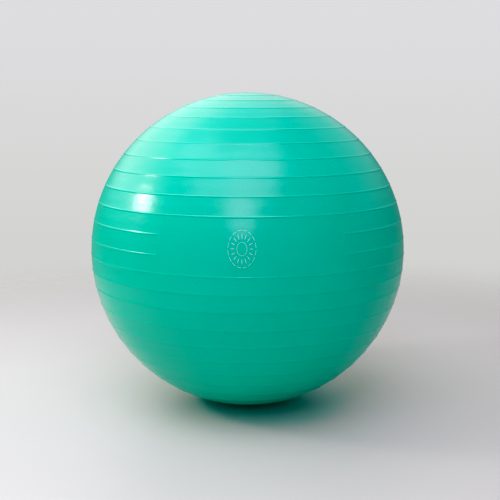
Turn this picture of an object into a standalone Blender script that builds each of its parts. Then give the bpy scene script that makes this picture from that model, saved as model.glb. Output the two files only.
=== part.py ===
"""An inflatable exercise ball, resting on a floor.

Three pieces: a seamless ribbed skin of soft PVC, a valve seat bonded into it, and a push-in valve plug.
Frame: metres, +Z up, origin on the floor under the ball's centre. The plain print panel faces -Y and the
valve faces +Y. The ribs run round the Z axis. Angles called latitude are measured from the ball's equator.
"""

import math

import bmesh
import bpy
from mathutils import Matrix, Vector

# Skin
BALL_DIAMETER = 0.650  # outside, over the smooth skin between the ribs
SKIN_WALL = 0.0009
FOOT_RADIUS = 0.042  # flat patch that the ball's own weight presses against the floor

# Ribs. A pitch is measured along the skin, from pole to pole.
RIB_WIDTH = 0.0040
RIB_HEIGHT = 0.0010
RIB_PITCH = 0.0375
MIDDLE_RIB_PITCH = 0.0330  # the thicker middle of the skin stretches less, so its ribs stand closer
MIDDLE_RIBS = 4
PATTERN_DROP = 0.0170  # from the equator down to the middle of the rib pattern
POLE_CAP = 0.050  # smooth cap round each pole, measured along the skin
RIB_END_LENGTH = 0.0035  # where an interrupted rib runs out into the skin

# Plain areas, where the two ribs nearest the print panel's middle are interrupted
PANEL_RISE = 0.0510  # from the equator up to the middle of the print panel, measured along the skin
PANEL_WIDTH = 0.368  # print panel at the front, measured round the equator
VALVE_PAD_RADIUS = 0.030

# Valve seat. Depths are measured inwards along the valve's axis from the skin's outer surface.
SEAT_RIM_WIDTH = 0.0020  # the ring that shows round the plug's head
SEAT_FACE_DEPTH = 0.0002
SEAT_EDGE_ROUND = 0.0006
SEAT_FLANGE_WIDTH = 0.0093  # how far the flange reaches out under the skin
SEAT_FLANGE_THICKNESS = 0.0022
SEAT_SLEEVE_WALL = 0.0024
SLEEVE_OVERRUN = 0.0030  # the sleeve runs this far past the plug's tip
SEAT_MOUTH_CHAMFER = 0.0008
BORE_RADIUS = 0.00465

# Valve plug
HEAD_RADIUS = 0.0084
HEAD_THICKNESS = 0.0018
HEAD_EDGE_ROUND = 0.0005
HEAD_DISH_DEPTH = 0.0005
HEAD_RIM_WIDTH = 0.0018
SHANK_LENGTH = 0.0170
SHANK_WALL = 0.0014  # round the blind hole moulded into the shank from its tip
BARBS = 3
BARB_HEIGHT = 0.00055
BARB_LENGTH = 0.0030
BARB_PITCH = 0.0042
TIP_CHAMFER = 0.0010
CORE_LENGTH = 0.0135

# Clearances
TOUCH_GAP = 0.0003  # between pieces that touch or are bonded
FLANGE_GAP = 0.0006  # flange to skin: the bond line, and the sag of the skin's flat facets

# Facets
SKIN_COLUMNS = 40
TURNED_STEPS = 32
ARC_STEPS = 3

# Worked out from the dimensions above
RADIUS = BALL_DIAMETER / 2
CENTRE_HEIGHT = math.sqrt(RADIUS**2 - FOOT_RADIUS**2)
PANEL_HALF_ANGLE = PANEL_WIDTH / 2 / RADIUS
PAD_HALF_ANGLE = VALVE_PAD_RADIUS / RADIUS
RIB_END_ANGLE = RIB_END_LENGTH / RADIUS
RECESS_RADIUS = HEAD_RADIUS + TOUCH_GAP
RECESS_DEPTH = SEAT_FACE_DEPTH + HEAD_THICKNESS + TOUCH_GAP
SEAT_NECK_RADIUS = RECESS_RADIUS + SEAT_RIM_WIDTH
SEAT_FLANGE_RADIUS = SEAT_NECK_RADIUS + SEAT_FLANGE_WIDTH
SEAT_LENGTH = SEAT_FACE_DEPTH + HEAD_THICKNESS + SHANK_LENGTH + SLEEVE_OVERRUN
SKIN_HOLE_RADIUS = SEAT_NECK_RADIUS + TOUCH_GAP
SHANK_RADIUS = BORE_RADIUS - TOUCH_GAP
SHANK_ROOT_RADIUS = SHANK_RADIUS - BARB_HEIGHT
CORE_RADIUS = SHANK_ROOT_RADIUS - SHANK_WALL
FRONT = -math.pi / 2
BACK = math.pi / 2


def rib_latitudes():
    """Latitudes of every rib, from the top one to the bottom one."""
    middle = -PATTERN_DROP / RADIUS
    inner = [
        middle + (i - (MIDDLE_RIBS - 1) / 2) * MIDDLE_RIB_PITCH / RADIUS
        for i in range(MIDDLE_RIBS)
    ]
    highest, lowest = max(inner), min(inner)
    limit = math.pi / 2 - POLE_CAP / RADIUS
    step = RIB_PITCH / RADIUS
    above = [highest + i * step for i in range(1, int((limit - highest) / step) + 1)]
    below = [lowest - i * step for i in range(1, int((limit + lowest) / step) + 1)]
    return sorted(inner + above + below, reverse=True)


def interrupted_ribs(latitudes):
    """The two ribs nearest the middle of the print panel."""
    return sorted(latitudes, key=lambda latitude: abs(latitude - PANEL_RISE / RADIUS))[:2]


def valve_latitude(latitudes):
    """The valve sits halfway between the two interrupted ribs."""
    return sum(interrupted_ribs(latitudes)) / 2


def cap_latitude(latitudes):
    """A ring halfway up the smooth cap, so that the cap stays domed."""
    return (math.pi / 2 + latitudes[0]) / 2


def angle_between(a, b):
    return abs((a - b + math.pi) % (2 * math.pi) - math.pi)


def skin_azimuths():
    """Azimuths of the skin's columns: evenly spaced, with extra ones where ribs end and beside the valve."""
    even = [2 * math.pi * i / SKIN_COLUMNS for i in range(SKIN_COLUMNS)]
    extra = [BACK - PAD_HALF_ANGLE / 2, BACK, BACK + PAD_HALF_ANGLE / 2]
    for middle, half in ((FRONT, PANEL_HALF_ANGLE), (BACK, PAD_HALF_ANGLE)):
        for side in (-1, 1):
            extra.append((middle + side * half) % (2 * math.pi))
            extra.append((middle + side * (half + RIB_END_ANGLE)) % (2 * math.pi))
    apart = 2 * RIB_END_ANGLE
    kept = [a for a in even if all(angle_between(a, e) > apart for e in extra)]
    return sorted(kept + extra)


def is_plain(azimuth):
    """True where an interrupted rib is absent: in the print panel and beside the valve."""
    slack = RIB_END_ANGLE / 2
    in_panel = angle_between(azimuth, FRONT) < PANEL_HALF_ANGLE + slack
    return in_panel or angle_between(azimuth, BACK) < PAD_HALF_ANGLE + slack


def ring(bm, radius_at, latitude, azimuths):
    """One ring of vertices, whose distance from the ball's centre may differ from column to column."""
    points = []
    for azimuth in azimuths:
        r = radius_at(azimuth)
        across = r * math.cos(latitude)
        height = CENTRE_HEIGHT + r * math.sin(latitude)
        points.append(bm.verts.new((across * math.cos(azimuth), across * math.sin(azimuth), height)))
    return points


def close_surface(bm, top, rings, bottom):
    """Faces from a top point, down through the rings, to a bottom point."""
    count = len(rings[0])
    for upper, lower in zip(rings, rings[1:]):
        for i in range(count):
            j = (i + 1) % count
            bm.faces.new((upper[i], lower[i], lower[j], upper[j]))
    for i in range(count):
        j = (i + 1) % count
        bm.faces.new((top, rings[0][i], rings[0][j]))
        bm.faces.new((bottom, rings[-1][j], rings[-1][i]))


def foot_ring(bm, height, sphere_radius, azimuths):
    """The edge of the flat where a sphere of that radius meets the level at that height."""
    drop = CENTRE_HEIGHT - height
    across = math.sqrt(sphere_radius**2 - drop**2)
    return [bm.verts.new((across * math.cos(a), across * math.sin(a), height)) for a in azimuths]


def outer_surface(bm, latitudes, azimuths):
    broken = interrupted_ribs(latitudes)
    half_rib = RIB_WIDTH / 2 / RADIUS
    rings = [ring(bm, lambda a: RADIUS, cap_latitude(latitudes), azimuths)]
    for latitude in sorted([*latitudes, valve_latitude(latitudes)], reverse=True):
        if latitude not in latitudes:
            rings.append(ring(bm, lambda a: RADIUS, latitude, azimuths))
            continue

        def crest(azimuth, cut=latitude in broken):
            return RADIUS if cut and is_plain(azimuth) else RADIUS + RIB_HEIGHT

        rings.append(ring(bm, lambda a: RADIUS, latitude + half_rib, azimuths))
        rings.append(ring(bm, crest, latitude, azimuths))
        rings.append(ring(bm, lambda a: RADIUS, latitude - half_rib, azimuths))
    rings.append(foot_ring(bm, 0, RADIUS, azimuths))
    top = bm.verts.new((0, 0, CENTRE_HEIGHT + RADIUS))
    bottom = bm.verts.new((0, 0, 0))
    close_surface(bm, top, rings, bottom)


def inner_surface(bm, latitudes, azimuths):
    inside = RADIUS - SKIN_WALL
    levels = sorted([cap_latitude(latitudes), *latitudes, valve_latitude(latitudes)], reverse=True)
    rings = [ring(bm, lambda a: inside, latitude, azimuths) for latitude in levels]
    rings.append(foot_ring(bm, SKIN_WALL, inside, azimuths))
    top = bm.verts.new((0, 0, CENTRE_HEIGHT + inside))
    bottom = bm.verts.new((0, 0, SKIN_WALL))
    before = set(bm.faces)
    close_surface(bm, top, rings, bottom)
    bmesh.ops.reverse_faces(bm, faces=[f for f in bm.faces if f not in before])


def material(name, color, roughness):
    made = bpy.data.materials.new(name)
    made.use_nodes = True
    made.diffuse_color = (*color, 1)
    shader = made.node_tree.nodes["Principled BSDF"]
    shader.inputs["Base Color"].default_value = (*color, 1)
    shader.inputs["Roughness"].default_value = roughness
    shader.inputs["Metallic"].default_value = 0
    return made


def new_object(name, bm, look=None):
    mesh = bpy.data.meshes.new(name)
    bm.to_mesh(mesh)
    bm.free()
    if look:
        mesh.materials.append(look)
    mesh.shade_smooth()
    mesh.set_sharp_from_angle(angle=math.radians(35))
    made = bpy.data.objects.new(name, mesh)
    bpy.context.scene.collection.objects.link(made)
    return made


def arc(centre_r, centre_w, radius, start, end):
    """Points of a rounded edge in a turned profile, from angle start to angle end in degrees."""
    points = []
    for i in range(ARC_STEPS + 1):
        a = math.radians(start + (end - start) * i / ARC_STEPS)
        points.append((centre_r + radius * math.cos(a), centre_w + radius * math.sin(a)))
    return points


def turned(name, profile, look, closed_loop):
    """A solid turned about +Z from (radius, height) points. Height 0 is the skin's outer surface."""
    bm = bmesh.new()
    verts = [bm.verts.new((r, 0, w)) for r, w in profile]
    edges = [bm.edges.new(pair) for pair in zip(verts, verts[1:])]
    if closed_loop:
        edges.append(bm.edges.new((verts[-1], verts[0])))
    bmesh.ops.spin(
        bm,
        geom=verts + edges,
        axis=(0, 0, 1),
        cent=(0, 0, 0),
        steps=TURNED_STEPS,
        angle=2 * math.pi,
        use_merge=True,
    )
    bmesh.ops.remove_doubles(bm, verts=bm.verts, dist=1e-7)
    bmesh.ops.recalc_face_normals(bm, faces=bm.faces)
    return new_object(name, bm, look)


def seat_profile():
    """The seat's cross-section: a neck through the skin, a dished flange under it, and a bored sleeve."""
    face = -SEAT_FACE_DEPTH
    recess = -RECESS_DEPTH
    flange_sphere = RADIUS - SKIN_WALL - FLANGE_GAP
    sleeve = BORE_RADIUS + SEAT_SLEEVE_WALL

    def flange_top(r):
        return math.sqrt(flange_sphere**2 - r**2) - RADIUS

    halfway = (SEAT_NECK_RADIUS + SEAT_FLANGE_RADIUS) / 2
    edge = flange_top(SEAT_FLANGE_RADIUS)
    return [
        (RECESS_RADIUS, face),
        (SEAT_NECK_RADIUS - SEAT_EDGE_ROUND, face),
        (SEAT_NECK_RADIUS, face - SEAT_EDGE_ROUND),
        (SEAT_NECK_RADIUS, flange_top(SEAT_NECK_RADIUS)),
        (halfway, flange_top(halfway)),
        (SEAT_FLANGE_RADIUS, edge),
        (SEAT_FLANGE_RADIUS, edge - SEAT_FLANGE_THICKNESS / 2),
        (SEAT_NECK_RADIUS, edge - SEAT_FLANGE_THICKNESS),
        (sleeve, edge - SEAT_FLANGE_THICKNESS - (SEAT_NECK_RADIUS - sleeve)),
        (sleeve, -SEAT_LENGTH),
        (BORE_RADIUS, -SEAT_LENGTH),
        (BORE_RADIUS, recess - SEAT_MOUTH_CHAMFER),
        (BORE_RADIUS + SEAT_MOUTH_CHAMFER, recess),
        (RECESS_RADIUS, recess),
    ]


def plug_profile():
    """The plug's cross-section from its dished head, down the barbed shank, and up the core hole."""
    top = -SEAT_FACE_DEPTH
    under = top - HEAD_THICKNESS
    tip = under - SHANK_LENGTH
    root = SHANK_ROOT_RADIUS
    round_ = HEAD_EDGE_ROUND
    rim = HEAD_RADIUS - HEAD_RIM_WIDTH
    dish = top - HEAD_DISH_DEPTH
    points = [(0, dish), (rim - HEAD_DISH_DEPTH, dish), (rim, top)]
    points += arc(HEAD_RADIUS - round_, top - round_, round_, 90, 0)
    points += arc(HEAD_RADIUS - round_, under + round_, round_, 0, -90)
    points.append((root, under))
    for i in range(BARBS):
        shoulder = under - BARB_LENGTH - i * BARB_PITCH
        points += [(root, shoulder), (SHANK_RADIUS, shoulder), (SHANK_RADIUS, shoulder - BARB_HEIGHT)]
        points.append((root, shoulder - BARB_LENGTH))
    points += [(root, tip + TIP_CHAMFER), (root - TIP_CHAMFER / 2, tip), (CORE_RADIUS, tip)]
    end = tip + CORE_LENGTH
    points += [(CORE_RADIUS, end - CORE_RADIUS / 2), (CORE_RADIUS / 2, end), (0, end)]
    return points


def hole_cutter():
    """The drill for the skin's valve hole, long enough to pass the wall on both sides."""
    bm = bmesh.new()
    reach = 20 * SKIN_WALL
    bmesh.ops.create_cone(
        bm,
        cap_ends=True,
        segments=TURNED_STEPS,
        radius1=SKIN_HOLE_RADIUS,
        radius2=SKIN_HOLE_RADIUS,
        depth=2 * reach,
    )
    cutter = new_object("valve_hole_cutter", bm)
    cutter.display_type = "WIRE"
    cutter.hide_render = True
    return cutter


def main():
    for old in list(bpy.data.objects):
        bpy.data.objects.remove(old)

    skin_pvc = material("skin_pvc", (0.0, 0.45, 0.33), 0.30)
    seat_pvc = material("seat_pvc", (0.0, 0.36, 0.27), 0.40)
    plug_plastic = material("plug_plastic", (0.85, 0.86, 0.84), 0.35)

    latitudes = rib_latitudes()
    azimuths = skin_azimuths()

    bm = bmesh.new()
    outer_surface(bm, latitudes, azimuths)
    inner_surface(bm, latitudes, azimuths)
    skin = new_object("ball_skin", bm, skin_pvc)

    # An empty on the valve's axis, at the skin's outer surface, with +Z pointing outwards
    lift = valve_latitude(latitudes)
    outwards = Vector((math.cos(BACK) * math.cos(lift), math.sin(BACK) * math.cos(lift), math.sin(lift)))
    place = Vector((0, 0, CENTRE_HEIGHT)) + RADIUS * outwards
    valve = bpy.data.objects.new("valve_axis", None)
    valve.matrix_world = Matrix.Translation(place) @ outwards.to_track_quat("Z", "X").to_matrix().to_4x4()
    bpy.context.scene.collection.objects.link(valve)

    cutter = hole_cutter()
    seat = turned("valve_seat", seat_profile(), seat_pvc, closed_loop=True)
    plug = turned("valve_plug", plug_profile(), plug_plastic, closed_loop=False)
    for piece in (cutter, seat, plug):
        piece.parent = valve

    cut = skin.modifiers.new("valve_hole", "BOOLEAN")
    cut.operation = "DIFFERENCE"
    cut.solver = "EXACT"
    cut.object = cutter


main()
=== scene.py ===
"""Looks for the exercise ball: a fine ribbed skin, its valve, the print and the studio.

Metres, in the CAD's frame: origin on the floor under the ball's centre, +Z up, print panel towards -Y, valve
towards +Y. Angles called latitude are measured from the ball's equator, and azimuths from +X towards +Y.
"""

import math

import bmesh
import bpy
import numpy as np
from mathutils import Matrix, Vector


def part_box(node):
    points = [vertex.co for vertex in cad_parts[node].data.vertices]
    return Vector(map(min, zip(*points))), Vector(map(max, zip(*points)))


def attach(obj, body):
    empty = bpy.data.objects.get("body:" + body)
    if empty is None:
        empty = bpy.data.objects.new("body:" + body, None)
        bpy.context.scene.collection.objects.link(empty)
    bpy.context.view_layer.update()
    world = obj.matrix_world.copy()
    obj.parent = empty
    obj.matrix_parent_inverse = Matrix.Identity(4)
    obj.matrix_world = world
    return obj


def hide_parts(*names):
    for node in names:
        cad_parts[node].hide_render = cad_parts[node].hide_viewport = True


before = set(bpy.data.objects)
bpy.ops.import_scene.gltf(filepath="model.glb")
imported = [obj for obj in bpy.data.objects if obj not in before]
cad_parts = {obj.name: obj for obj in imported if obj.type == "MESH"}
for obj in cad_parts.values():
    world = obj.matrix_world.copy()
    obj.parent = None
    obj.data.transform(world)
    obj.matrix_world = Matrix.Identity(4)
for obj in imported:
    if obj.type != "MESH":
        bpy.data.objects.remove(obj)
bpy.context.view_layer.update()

# The ribs as seen, softer than the CAD's square-topped ones
RIB_WIDTH = 0.0052  # with their soft flanks
RIB_RELIEF = 0.0007

# The ball, as in the CAD
RIB_HEIGHT = 0.0010
RIB_PITCH = 0.0375
MIDDLE_RIB_PITCH = 0.0330
MIDDLE_RIBS = 4
PATTERN_DROP = 0.0170
POLE_CAP = 0.050
PANEL_RISE = 0.0510
PANEL_WIDTH = 0.368
VALVE_PAD_RADIUS = 0.030
SKIN_WALL = 0.0009
FOOT_RADIUS = 0.042
FOOT_ROUND = 0.012  # how far the skin takes to leave the floor at the edge of its flat patch

# The valve, as in the CAD
HEAD_RADIUS = 0.0084
HEAD_THICKNESS = 0.0018
HEAD_RIM_WIDTH = 0.0018
HEAD_DISH_DEPTH = 0.0005
SHANK_LENGTH = 0.0170
SHANK_WALL = 0.0014
BARBS = 3
BARB_HEIGHT = 0.00055
BARB_LENGTH = 0.0030
BARB_PITCH = 0.0042
CORE_LENGTH = 0.0135
BORE_RADIUS = 0.00465
SEAT_RIM_WIDTH = 0.0020
SEAT_FACE_DEPTH = 0.0002
SEAT_FLANGE_WIDTH = 0.0093
SEAT_FLANGE_THICKNESS = 0.0022
SEAT_SLEEVE_WALL = 0.0024
SLEEVE_OVERRUN = 0.0030
TOUCH_GAP = 0.0003
FLANGE_GAP = 0.0006

skin_low, skin_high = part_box("ball_skin")
RADIUS = (skin_high.x - skin_low.x) / 2 - RIB_HEIGHT
CENTRE = Vector((0, 0, skin_high.z - RADIUS))
FRONT = -math.pi / 2
BACK = math.pi / 2

RECESS_RADIUS = HEAD_RADIUS + TOUCH_GAP
SEAT_NECK_RADIUS = RECESS_RADIUS + SEAT_RIM_WIDTH
SKIN_HOLE_RADIUS = SEAT_NECK_RADIUS + TOUCH_GAP
SHANK_RADIUS = BORE_RADIUS - TOUCH_GAP


# --- Skin ---------------------------------------------------------------------------------------------------


def rib_latitudes():
    middle = -PATTERN_DROP / RADIUS
    half = (MIDDLE_RIBS - 1) / 2
    inner = [middle + (i - half) * MIDDLE_RIB_PITCH / RADIUS for i in range(MIDDLE_RIBS)]
    limit = math.pi / 2 - POLE_CAP / RADIUS
    step = RIB_PITCH / RADIUS
    above = [max(inner) + i * step for i in range(1, int((limit - max(inner)) / step) + 1)]
    below = [min(inner) - i * step for i in range(1, int((limit + min(inner)) / step) + 1)]
    return sorted(inner + above + below)


RIBS = rib_latitudes()
BROKEN_RIBS = sorted(RIBS, key=lambda rib: abs(rib - PANEL_RISE / RADIUS))[:2]
VALVE_LATITUDE = sum(BROKEN_RIBS) / 2


def turn_between(a, b):
    """The signed turn from b to a, from -pi to pi."""
    return (np.asarray(a) - b + math.pi) % (2 * math.pi) - math.pi


def rib_relief(latitude, azimuth):
    """Height of the ribs over the smooth skin, for arrays of latitude and azimuth."""
    height = np.zeros(np.broadcast(latitude, azimuth).shape)
    to_panel = (PANEL_WIDTH / 2 - np.abs(turn_between(azimuth, FRONT)) * RADIUS) * np.cos(latitude)
    to_valve = (VALVE_PAD_RADIUS - np.abs(turn_between(azimuth, BACK)) * RADIUS) * np.cos(latitude)
    past_end = np.maximum(np.maximum(to_panel, to_valve) + RIB_WIDTH / 2, 0)
    for rib in RIBS:
        away = (latitude - rib) * RADIUS
        if rib in BROKEN_RIBS:
            away = np.hypot(away, past_end)
        t = np.clip(np.abs(away) / (RIB_WIDTH / 2), 0, 1)
        height = np.maximum(height, RIB_RELIEF * (0.5 + 0.5 * np.cos(math.pi * t)))
    return height


def with_extra(values, extra, apart):
    """The sorted union of two lists of angles, without those of values that crowd those of extra."""
    kept = [v for v in values if min(abs(v - e) for e in extra) > apart]
    return np.array(sorted(kept + list(extra)))


# How finely the skin is divided
INNER_ROWS, INNER_COLUMNS = 61, 96  # the rows include the poles
OUTER_COLUMNS = 240
ROWS_ACROSS_RIB = 9
ROWS_PER_PITCH = 4
RIB_MARGIN = 0.0002  # the outermost of a rib's rows lie this far outside it
POLE_MARGIN = 0.01  # radians between a pole and the row nearest to it
CLOSE_COLUMNS = 0.003  # an even column closer than this to an added one is left out


def skin_rows(fine):
    """Latitudes of the skin's rows, from the bottom up."""
    if not fine:
        return np.linspace(-math.pi / 2, math.pi / 2, INNER_ROWS)[1:-1]
    across = np.linspace(-1, 1, ROWS_ACROSS_RIB) * (RIB_WIDTH / 2 + RIB_MARGIN)
    ribs = [rib + offset / RADIUS for rib in RIBS for offset in across]
    step = RIB_PITCH / RADIUS / ROWS_PER_PITCH
    limit = math.pi / 2 - POLE_MARGIN
    return with_extra(np.arange(-limit, limit, step), ribs, step * 0.45)


def skin_columns(fine):
    """Azimuths of the skin's columns, closer together at the ribs' ends and round the valve."""
    if not fine:
        return np.linspace(0, 2 * math.pi, INNER_COLUMNS, endpoint=False)
    even = np.linspace(0, 2 * math.pi, OUTER_COLUMNS, endpoint=False)
    near_end = np.array([-0.0025, -0.0015, -0.0005, 0.0005, 0.0015, 0.0025, 0.0040]) / RADIUS
    near_valve = np.array([0.004, 0.008, 0.012, 0.016]) / RADIUS
    extra = [BACK + side * a for a in near_valve for side in (-1, 1)] + [BACK]
    for middle, width in ((FRONT, PANEL_WIDTH), (BACK, 2 * VALVE_PAD_RADIUS)):
        for side in (-1, 1):
            extra += [middle + side * (width / 2 / RADIUS + a) for a in near_end]
    return with_extra(even, [a % (2 * math.pi) for a in extra], CLOSE_COLUMNS / RADIUS)


def settle_on_floor(points, floor):
    """Lifts points that lie under the floor up to it, with a soft bend at the edge of the flat patch."""
    z = points[..., 2] - floor
    reach = FOOT_ROUND * FOOT_RADIUS / RADIUS
    bent = np.where(z < reach, np.where(z < -reach, 0, (z + reach) ** 2 / (4 * reach)), z)
    points[..., 2] = bent + floor
    return points


def skin_surface(bm, radius, floor, fine):
    """A closed ball of rows and columns. fine adds the ribs."""
    latitude, azimuth = np.meshgrid(skin_rows(fine), skin_columns(fine), indexing="ij")
    r = radius + (rib_relief(latitude, azimuth) if fine else 0)
    points = np.stack(
        [
            r * np.cos(latitude) * np.cos(azimuth),
            r * np.cos(latitude) * np.sin(azimuth),
            CENTRE.z + r * np.sin(latitude),
        ],
        axis=-1,
    )
    points = settle_on_floor(points, floor)
    grid = [[bm.verts.new(p) for p in row] for row in points]
    top = bm.verts.new((0, 0, CENTRE.z + radius))
    bottom = bm.verts.new((0, 0, floor))
    count = len(grid[0])
    for i in range(count):
        j = (i + 1) % count
        for lower, upper in zip(grid, grid[1:]):
            bm.faces.new((lower[i], lower[j], upper[j], upper[i]))
        bm.faces.new((grid[-1][i], grid[-1][j], top))
        bm.faces.new((grid[0][j], grid[0][i], bottom))


def new_object(name, bm, material=None, sharp=35):
    """An object made of a bmesh, smooth but for edges over so many degrees. The bmesh is used up."""
    mesh = bpy.data.meshes.new(name)
    bm.to_mesh(mesh)
    bm.free()
    if material:
        mesh.materials.append(material)
    mesh.shade_smooth()
    mesh.set_sharp_from_angle(angle=math.radians(sharp))
    made = bpy.data.objects.new(name, mesh)
    bpy.context.scene.collection.objects.link(made)
    return made


def valve_matrix():
    """From the valve's own axes, +Z outwards and the origin on the smooth skin, to the row frame."""
    c, s = math.cos(VALVE_LATITUDE), math.sin(VALVE_LATITUDE)
    out = Vector((math.cos(BACK) * c, math.sin(BACK) * c, s))
    turn = out.to_track_quat("Z", "X").to_matrix().to_4x4()
    return Matrix.Translation(CENTRE + RADIUS * out) @ turn


ROUND_STEPS = 96  # round the valve's axis
HOLE_CUTTER_LENGTH = 0.03
SKIN_SHARP = 50  # degrees


def cut_hole(skin):
    """Bores the valve's hole through the skin and leaves the result as a plain mesh."""
    bm = bmesh.new()
    bmesh.ops.create_cone(
        bm,
        cap_ends=True,
        segments=ROUND_STEPS,
        radius1=SKIN_HOLE_RADIUS,
        radius2=SKIN_HOLE_RADIUS,
        depth=HOLE_CUTTER_LENGTH,
    )
    cutter = new_object("hole_cutter", bm)
    cutter.matrix_world = valve_matrix()
    cut = skin.modifiers.new("valve_hole", "BOOLEAN")
    cut.operation = "DIFFERENCE"
    cut.solver = "EXACT"
    cut.object = cutter
    bpy.context.view_layer.update()
    evaluated = skin.evaluated_get(bpy.context.evaluated_depsgraph_get())
    mesh = bpy.data.meshes.new_from_object(evaluated)
    skin.modifiers.clear()
    old = skin.data
    skin.data = mesh
    bpy.data.meshes.remove(old)
    bpy.data.objects.remove(cutter)
    mesh.set_sharp_from_angle(angle=math.radians(SKIN_SHARP))


def make_skin(material):
    bm = bmesh.new()
    skin_surface(bm, RADIUS, 0, fine=True)
    outer = set(bm.faces)
    skin_surface(bm, RADIUS - SKIN_WALL, SKIN_WALL, fine=False)
    bmesh.ops.reverse_faces(bm, faces=[f for f in bm.faces if f not in outer])
    skin = new_object("ribbed_skin", bm, material, sharp=SKIN_SHARP)
    cut_hole(skin)
    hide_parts("ball_skin")
    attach(skin, "ball")


# --- Materials ----------------------------------------------------------------------------------------------


def smooth_step(tree, value, low, high):
    """A node's output that goes smoothly from 0 where value is at low to 1 where it is at high."""
    node = tree.nodes.new("ShaderNodeMapRange")
    node.interpolation_type = "SMOOTHSTEP"
    tree.links.new(value, node.inputs["Value"])
    first, last = (low, high) if low < high else (high, low)
    node.inputs["From Min"].default_value = first
    node.inputs["From Max"].default_value = last
    node.inputs["To Min"].default_value = float(low > high)
    node.inputs["To Max"].default_value = float(low < high)
    return node.outputs["Result"]


class Nodes:
    """A material's node tree, built by name."""

    def __init__(self, name):
        self.material = bpy.data.materials.new(name)
        self.material.use_nodes = True
        self.tree = self.material.node_tree
        self.shader = self.tree.nodes["Principled BSDF"]

    def add(self, kind, inputs=None, **settings):
        node = self.tree.nodes.new(kind)
        for key, value in settings.items():
            setattr(node, key, value)
        for key, value in (inputs or {}).items():
            self.feed(node.inputs[key], value)
        return node

    def feed(self, socket, value):
        if isinstance(value, bpy.types.NodeSocket):
            self.tree.links.new(value, socket)
        else:
            socket.default_value = value

    def set(self, **inputs):
        for key, value in inputs.items():
            self.feed(self.shader.inputs[key.replace("_", " ")], value)

    def math(self, operation, a, b=0.0):
        return self.add("ShaderNodeMath", {0: a, 1: b}, operation=operation).outputs[0]

    def coordinates(self):
        return self.add("ShaderNodeTexCoord").outputs["Object"]

    def scaled(self, vector, scale, location=(0, 0, 0)):
        inputs = {"Vector": vector, "Scale": scale, "Location": location}
        return self.add("ShaderNodeMapping", inputs).outputs[0]

    def noise(self, vector, scale, detail=2.0, roughness=0.5):
        """Noise from 0 to 1 with about scale blobs to the unit of vector."""
        inputs = {"Vector": vector, "Scale": scale, "Detail": detail, "Roughness": roughness}
        return self.add("ShaderNodeTexNoise", inputs).outputs["Fac"]

    def ramp(self, value, low, high, to_low, to_high):
        """A straight ramp from to_low where value is at low to to_high where it is at high."""
        inputs = {"Value": value, "From Min": low, "From Max": high, "To Min": to_low, "To Max": to_high}
        return self.add("ShaderNodeMapRange", inputs).outputs["Result"]

    def smooth(self, value, low, high):
        """0 where value is at low or beyond, 1 where it is at high or beyond."""
        return smooth_step(self.tree, value, low, high)

    def mix(self, factor, a, b):
        node = self.add("ShaderNodeMix", data_type="RGBA")
        for key, value in ((0, factor), (6, a), (7, b)):
            self.feed(node.inputs[key], value)
        return node.outputs[2]

    def bump(self, height, distance, normal=None):
        inputs = {"Height": height, "Distance": distance}
        if normal:
            inputs["Normal"] = normal
        return self.add("ShaderNodeBump", inputs).outputs["Normal"]


# Colours in pairs, which each material's noise mixes
SKIN_COLORS = ((0.0, 0.595, 0.37, 1), (0.0, 0.53, 0.31, 1))
SEAT_COLORS = ((0.0, 0.33, 0.225, 1), (0.0, 0.29, 0.19, 1))
PLUG_COLORS = ((0.80, 0.81, 0.78, 1), (0.72, 0.73, 0.69, 1))
INK_COLORS = ((0.50, 0.72, 0.66, 1), (0.62, 0.80, 0.75, 1))
FLOOR_COLORS = ((0.57, 0.55, 0.47, 1), (0.60, 0.58, 0.50, 1))

PVC_IOR = 1.55
SEAT_IOR = 1.52

# How high the skin's bumps are
WAVE_HEIGHT = 0.0003
PEEL_HEIGHT = 0.00022
MARK_HEIGHT = 0.00004


def skin_material():
    """Glossy moulded PVC: slow clouds of tone, long waves, orange peel and fine turning marks."""
    n = Nodes("pvc_skin")
    place = n.coordinates()
    centred = n.scaled(place, (1, 1, 1), (0, 0, -CENTRE.z))
    split = n.add("ShaderNodeSeparateXYZ", {0: centred})
    sine = n.math("DIVIDE", split.outputs["Z"], RADIUS)
    within = n.math("MINIMUM", n.math("MAXIMUM", sine, -1.0), 1.0)
    along = n.math("MULTIPLY", n.math("ARCSINE", within), RADIUS)
    # Turning marks: rings round the rib axis, slightly broken along their length
    ringed = n.add("ShaderNodeCombineXYZ", {"X": split.outputs["X"], "Y": split.outputs["Y"], "Z": along})
    marks = n.noise(n.scaled(ringed.outputs[0], (5, 5, 700)), 1.0, 3.0, 0.6)
    peel = n.noise(place, 330, 2.0, 0.5)
    waves = n.noise(place, 45, 2.0, 0.5)
    clouds = n.noise(place, 7, 3.0, 0.55)
    tone = n.math("ADD", n.ramp(clouds, 0.3, 0.7, 0, 0.65), n.ramp(peel, 0.3, 0.7, 0, 0.35))
    color = n.mix(tone, *SKIN_COLORS)
    rough = n.math("ADD", n.ramp(marks, 0.3, 0.7, 0.20, 0.25), n.ramp(clouds, 0.3, 0.7, 0.0, 0.03))
    normal = n.bump(waves, WAVE_HEIGHT)
    normal = n.bump(peel, PEEL_HEIGHT, normal)
    normal = n.bump(marks, MARK_HEIGHT, normal)
    n.set(Base_Color=color, Roughness=rough, Normal=normal, IOR=PVC_IOR)
    return n.material


def seat_material():
    n = Nodes("pvc_seat")
    place = n.coordinates()
    grain = n.noise(place, 900, 2.0)
    color = n.mix(grain, *SEAT_COLORS)
    rough = n.ramp(grain, 0.3, 0.7, 0.36, 0.44)
    n.set(Base_Color=color, Roughness=rough, Normal=n.bump(grain, 0.00004), IOR=SEAT_IOR)
    return n.material


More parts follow.
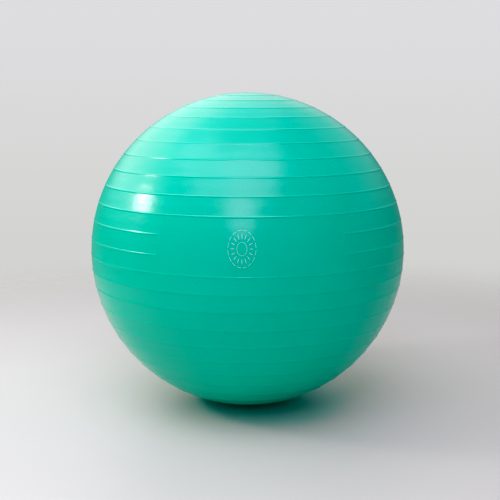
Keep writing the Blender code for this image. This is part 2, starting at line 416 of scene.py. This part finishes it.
def plug_material():
    n = Nodes("plug_plastic")
    place = n.coordinates()
    grain = n.noise(place, 1400, 2.0)
    clouds = n.noise(place, 120, 2.0)
    color = n.mix(clouds, *PLUG_COLORS)
    rough = n.ramp(grain, 0.3, 0.7, 0.30, 0.38)
    n.set(Base_Color=color, Roughness=rough, Normal=n.bump(grain, 0.00003))
    return n.material


def ink_material():
    n = Nodes("silver_ink")
    place = n.coordinates()
    speckle = n.noise(place, 900, 2.0)
    color = n.mix(n.ramp(speckle, 0.35, 0.65, 0, 1), *INK_COLORS)
    n.set(Base_Color=color, Roughness=n.ramp(speckle, 0.3, 0.7, 0.32, 0.45))
    return n.material


# --- Valve --------------------------------------------------------------------------------------------------


ARC_STEPS = 4  # along each rounded corner of a profile


def rounded(profile, rounds):
    """Replaces corners of a (radius, height) profile by arcs. rounds maps a corner's index to its radius."""
    points = []
    for i, corner in enumerate(profile):
        if i not in rounds:
            points.append(corner)
            continue
        here = Vector(corner)
        before = (Vector(profile[i - 1]) - here).normalized()
        after = (Vector(profile[(i + 1) % len(profile)]) - here).normalized()
        half = before.angle(after) / 2
        reach = rounds[i] / math.tan(half)
        middle = here + (before + after).normalized() * rounds[i] / math.sin(half)
        start, end = here + before * reach - middle, here + after * reach - middle
        turn = start.angle_signed(end)
        for k in range(ARC_STEPS + 1):
            a = -turn * k / ARC_STEPS
            c, s = math.cos(a), math.sin(a)
            points.append((middle.x + start.x * c - start.y * s, middle.y + start.x * s + start.y * c))
    return points


def turned(name, profile, material, closed_loop):
    """A solid turned about the valve's axis from (radius, height) points; height 0 is the smooth skin."""
    bm = bmesh.new()
    verts = [bm.verts.new((r, 0, w)) for r, w in profile]
    edges = [bm.edges.new(pair) for pair in zip(verts, verts[1:])]
    if closed_loop:
        edges.append(bm.edges.new((verts[-1], verts[0])))
    bmesh.ops.spin(
        bm,
        geom=verts + edges,
        axis=(0, 0, 1),
        cent=(0, 0, 0),
        steps=ROUND_STEPS,
        angle=2 * math.pi,
        use_merge=True,
    )
    bmesh.ops.remove_doubles(bm, verts=bm.verts, dist=1e-7)
    bmesh.ops.recalc_face_normals(bm, faces=bm.faces)
    bmesh.ops.transform(bm, matrix=valve_matrix(), verts=bm.verts)
    return new_object(name, bm, material)


def make_seat(material):
    face = -SEAT_FACE_DEPTH
    recess = face - HEAD_THICKNESS - TOUCH_GAP
    sphere = RADIUS - SKIN_WALL - FLANGE_GAP
    flange = SEAT_NECK_RADIUS + SEAT_FLANGE_WIDTH
    sleeve = BORE_RADIUS + SEAT_SLEEVE_WALL
    length = SEAT_FACE_DEPTH + HEAD_THICKNESS + SHANK_LENGTH + SLEEVE_OVERRUN

    def under_skin(r):
        return math.sqrt(sphere**2 - r**2) - RADIUS

    edge = under_skin(flange)
    profile = [
        (RECESS_RADIUS, face),
        (SEAT_NECK_RADIUS, face),
        (SEAT_NECK_RADIUS, under_skin(SEAT_NECK_RADIUS)),
        ((SEAT_NECK_RADIUS + flange) / 2, under_skin((SEAT_NECK_RADIUS + flange) / 2)),
        (flange, edge),
        (flange, edge - SEAT_FLANGE_THICKNESS / 2),
        (SEAT_NECK_RADIUS, edge - SEAT_FLANGE_THICKNESS),
        (sleeve, edge - SEAT_FLANGE_THICKNESS - (SEAT_NECK_RADIUS - sleeve)),
        (sleeve, -length),
        (BORE_RADIUS, -length),
        (BORE_RADIUS, recess),
        (RECESS_RADIUS, recess),
    ]
    rounds = {0: 0.0004, 1: 0.0006, 4: 0.0004, 5: 0.0008, 8: 0.0006, 9: 0.0004, 10: 0.0008, 11: 0.0003}
    seat = turned("valve_insert", rounded(profile, rounds), material, closed_loop=True)
    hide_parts("valve_seat")
    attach(seat, "ball")


def make_plug(material):
    top = -SEAT_FACE_DEPTH
    under = top - HEAD_THICKNESS
    tip = under - SHANK_LENGTH
    root = SHANK_RADIUS - BARB_HEIGHT
    core = root - SHANK_WALL
    rim = HEAD_RADIUS - HEAD_RIM_WIDTH
    dish = top - HEAD_DISH_DEPTH
    profile = [(0, dish), (rim - HEAD_DISH_DEPTH, dish), (rim, top), (HEAD_RADIUS, top), (HEAD_RADIUS, under)]
    rounds = {1: 0.0005, 2: 0.0003, 3: 0.0005, 4: 0.0005, 5: 0.0002}
    profile.append((root, under))
    for i in range(BARBS):
        shoulder = under - BARB_LENGTH - i * BARB_PITCH
        profile += [(root, shoulder), (SHANK_RADIUS, shoulder - BARB_HEIGHT * 0.2)]
        rounds[len(profile) - 1] = 0.00015
        profile.append((root, shoulder - BARB_LENGTH))
    profile += [(root, tip), (core, tip), (core, tip + CORE_LENGTH), (0, tip + CORE_LENGTH)]
    rounds[len(profile) - 4] = 0.0006
    rounds[len(profile) - 3] = 0.0003
    rounds[len(profile) - 2] = 0.0012
    plug = turned("stopper", rounded(profile, rounds), material, closed_loop=False)
    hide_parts("valve_plug")
    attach(plug, "plug")


# --- Print --------------------------------------------------------------------------------------------------

PRINT_LIFT = 0.00012
PRINT_AZIMUTH = FRONT - math.radians(3.6)
PRINT_WIDTH = 0.050
PRINT_HEIGHT = 0.067
PRINT_RAYS = 16
RAY_START, RAY_END = 0.26, 0.42  # as shares of the print's width and height
RAY_WIDTHS = [0.0004, 0.0011, 0.0003]
DASH_START, DASH_END = 0.008, 0.054  # in turns from a ray
DASH_WIDTH = 0.0007
RING_SHARE = 0.36
RING_WIDTH = 0.0006


def on_skin(x, y, lift=PRINT_LIFT):
    """The point of the skin at x to the right and y above the print's middle, measured along the skin."""
    latitude = VALVE_LATITUDE + y / RADIUS
    azimuth = PRINT_AZIMUTH + x / (RADIUS * math.cos(VALVE_LATITUDE))
    r = RADIUS + lift
    across = r * math.cos(latitude)
    return (across * math.cos(azimuth), across * math.sin(azimuth), CENTRE.z + r * math.sin(latitude))


def stroke(bm, line, width):
    """A flat band of ink along a line of (x, y) points; width is a number or one for each point."""
    widths = [width] * len(line) if isinstance(width, float) else width
    pairs = []
    for i, (point, w) in enumerate(zip(line, widths)):
        before, after = line[max(i - 1, 0)], line[min(i + 1, len(line) - 1)]
        dx, dy = after[0] - before[0], after[1] - before[1]
        size = math.hypot(dx, dy)
        nx, ny = -dy / size * w / 2, dx / size * w / 2
        x, y = point
        pairs.append((bm.verts.new(on_skin(x + nx, y + ny)), bm.verts.new(on_skin(x - nx, y - ny))))
    for (a, b), (c, d) in zip(pairs, pairs[1:]):
        bm.faces.new((a, b, d, c))


def ellipse(width, height, start, end, steps):
    """Points of an arc of an ellipse, anticlockwise from start to end in turns."""
    points = []
    for i in range(steps + 1):
        a = 2 * math.pi * (start + (end - start) * i / steps)
        points.append((width / 2 * math.cos(a), height / 2 * math.sin(a)))
    return points


def make_print(material):
    """A plain geometric ornament: an oval of dashes, rays inside it and a small closed oval in the middle."""
    bm = bmesh.new()
    for i in range(PRINT_RAYS):
        turn = i / PRINT_RAYS
        stroke(bm, ellipse(PRINT_WIDTH, PRINT_HEIGHT, turn + DASH_START, turn + DASH_END, 8), DASH_WIDTH)
        a = 2 * math.pi * turn
        inner = (PRINT_WIDTH * RAY_START * math.cos(a), PRINT_HEIGHT * RAY_START * math.sin(a))
        outer = (PRINT_WIDTH * RAY_END * math.cos(a), PRINT_HEIGHT * RAY_END * math.sin(a))
        middle = ((inner[0] + outer[0]) / 2, (inner[1] + outer[1]) / 2)
        stroke(bm, [inner, middle, outer], RAY_WIDTHS)
    stroke(bm, ellipse(PRINT_WIDTH * RING_SHARE, PRINT_HEIGHT * RING_SHARE, 0, 1, 48), RING_WIDTH)
    made = new_object("print_motif", bm, material)
    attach(made, "ball")


# --- Studio -------------------------------------------------------------------------------------------------


FLOOR_RADIUS = 3.0
FLOOR_FADE = (0.8, 1.9)  # the floor melts into the backdrop between these distances from the ball
FLOOR_ROUGHNESS = 0.5


def make_floor():
    n = Nodes("pale_floor")
    place = n.coordinates()
    clouds = n.noise(place, 3, 2.0)
    n.set(Base_Color=n.mix(clouds, *FLOOR_COLORS), Roughness=FLOOR_ROUGHNESS)
    away = n.add("ShaderNodeVectorMath", {0: place}, operation="LENGTH").outputs["Value"]
    n.set(Alpha=n.smooth(away, FLOOR_FADE[1], FLOOR_FADE[0]))
    bm = bmesh.new()
    bmesh.ops.create_circle(bm, cap_ends=True, segments=64, radius=FLOOR_RADIUS)
    new_object("floor", bm, n.material)


def area_light(name, place, target, size, radiance, color=(1, 1, 1)):
    """A flat rectangular lamp of the given radiance, facing a point."""
    data = bpy.data.lights.new(name, "AREA")
    data.shape = "RECTANGLE"
    data.size, data.size_y = size
    data.energy = radiance * math.pi * size[0] * size[1]
    data.color = color
    made = bpy.data.objects.new(name, data)
    made.location = place
    made.rotation_euler = (Vector(target) - Vector(place)).to_track_quat("-Z", "Y").to_euler()
    bpy.context.scene.collection.objects.link(made)


COOL = (1.0, 1.0, 1.30)
CEILING = 2.42

# Lamps that face down from the ceiling: name, middle, size and radiance
CEILING_LAMPS = (
    ("ceiling_front", (0.06, -1.5), (1.5, 2.0), 3.1),
    ("ceiling_low", (-0.48, -4.2), (1.35, 3.4), 4.4),  # far off, so it is mirrored low in the ball's front
    ("ceiling_left", (-1.2, -1.0), (1.2, 2.4), 2.5),
    ("ceiling_above", (-0.7, 0.5), (2.6, 2.0), 0.5),
)


def make_lights():
    for name, (x, y), size, radiance in CEILING_LAMPS:
        area_light(name, (x, y, CEILING), (x, y, 0), size, radiance, COOL)
    # A window on the left, with a small bright patch for the highlight
    area_light("window", (-2.0, 0.4, 1.75), (0, 0.4, 1.75), (3.2, 1.3), 0.4, COOL)
    area_light("window_sun", (-1.95, -0.08, 1.26), (-0.2, -0.2, 0.45), (0.30, 0.26), 46.0)


# Light from the room, by the direction that it comes from
ROOM = {
    "ahead": (0.03, 0.03, 0.03),
    "behind": (0.65, 0.65, 0.67),
    "behind_left": (1.6, 1.6, 1.7),
    "above": (0.25, 0.26, 0.29),
    "level": (0.20, 0.20, 0.20),
    "below": (0.36, 0.35, 0.33),
}
# What the camera sees behind the floor
BACKDROP = {"low": (0.64, 0.65, 0.63), "high": (0.72, 0.72, 0.74)}


def make_world():
    """The room's light, and for the camera a plain backdrop in its place."""
    world = bpy.data.worlds.new("studio")
    world.use_nodes = True
    bpy.context.scene.world = world
    tree = world.node_tree
    background = tree.nodes["Background"]
    direction = tree.nodes.new("ShaderNodeTexCoord").outputs["Generated"]
    split = tree.nodes.new("ShaderNodeSeparateXYZ")
    tree.links.new(direction, split.inputs[0])
    x, y, z = split.outputs["X"], split.outputs["Y"], split.outputs["Z"]  # of a direction of length 1

    def mixed(label, factor, a, b):
        """a where factor is 0 and b where it is 1; each is a colour or another node's output."""
        node = tree.nodes.new("ShaderNodeMix")
        node.data_type = "RGBA"
        node.label = label
        tree.links.new(factor, node.inputs[0])
        for key, value in ((6, a), (7, b)):
            if isinstance(value, bpy.types.NodeSocket):
                tree.links.new(value, node.inputs[key])
            else:
                node.inputs[key].default_value = (*value, 1)
        return node.outputs[2]

    behind = mixed("behind", smooth_step(tree, x, 0.40, -0.20), ROOM["behind"], ROOM["behind_left"])
    walls = mixed("walls", smooth_step(tree, y, -0.25, 0.35), ROOM["ahead"], behind)
    upper = mixed("upper", smooth_step(tree, z, 0.70, 0.90), walls, ROOM["above"])
    level = mixed("level", smooth_step(tree, z, 0.35, 0.05), upper, ROOM["level"])
    room = mixed("room", smooth_step(tree, z, 0.0, -0.2), level, ROOM["below"])
    backdrop = mixed("backdrop", smooth_step(tree, z, -0.20, 0.10), BACKDROP["low"], BACKDROP["high"])
    seen = tree.nodes.new("ShaderNodeLightPath").outputs["Is Camera Ray"]
    tree.links.new(mixed("seen", seen, room, backdrop), background.inputs["Color"])


CAMERA_DISTANCE = 6.2 * RADIUS
CAMERA_LIFT = math.radians(9.2)
CAMERA_TURN = math.radians(1.8)  # round the ball from -Y towards -X
AIM_DOWN = math.radians(0.090)  # how far below the ball's centre the camera looks
AIM_RIGHT = math.radians(0.144)  # and how far to its right
SENSOR_WIDTH = 36
LENS = 68.8


def make_camera():
    data = bpy.data.cameras.new("camera")
    data.sensor_width = SENSOR_WIDTH
    data.lens = LENS
    camera = bpy.data.objects.new("camera", data)
    bpy.context.scene.collection.objects.link(camera)
    level = math.cos(CAMERA_LIFT)
    towards = Vector((-math.sin(CAMERA_TURN) * level, -math.cos(CAMERA_TURN) * level, math.sin(CAMERA_LIFT)))
    camera.location = CENTRE + CAMERA_DISTANCE * towards
    camera.rotation_euler = (math.pi / 2 - CAMERA_LIFT - AIM_DOWN, 0, -CAMERA_TURN - AIM_RIGHT)
    bpy.context.scene.camera = camera


# Points added to the film's curve for red, each an input and its output
FILM_RED = ((0.045, 0.0), (0.25, 0.24))


def make_film():
    """The camera's response: plain, but for the last of the red in a strong green, which it loses."""
    view = bpy.context.scene.view_settings
    view.view_transform = "Standard"
    view.use_curve_mapping = True
    for point in FILM_RED:
        view.curve_mapping.curves[0].points.new(*point)
    view.curve_mapping.update()


def main():
    make_skin(skin_material())
    make_seat(seat_material())
    make_plug(plug_material())
    make_print(ink_material())
    make_floor()
    make_lights()
    make_world()
    make_camera()
    make_film()


main()
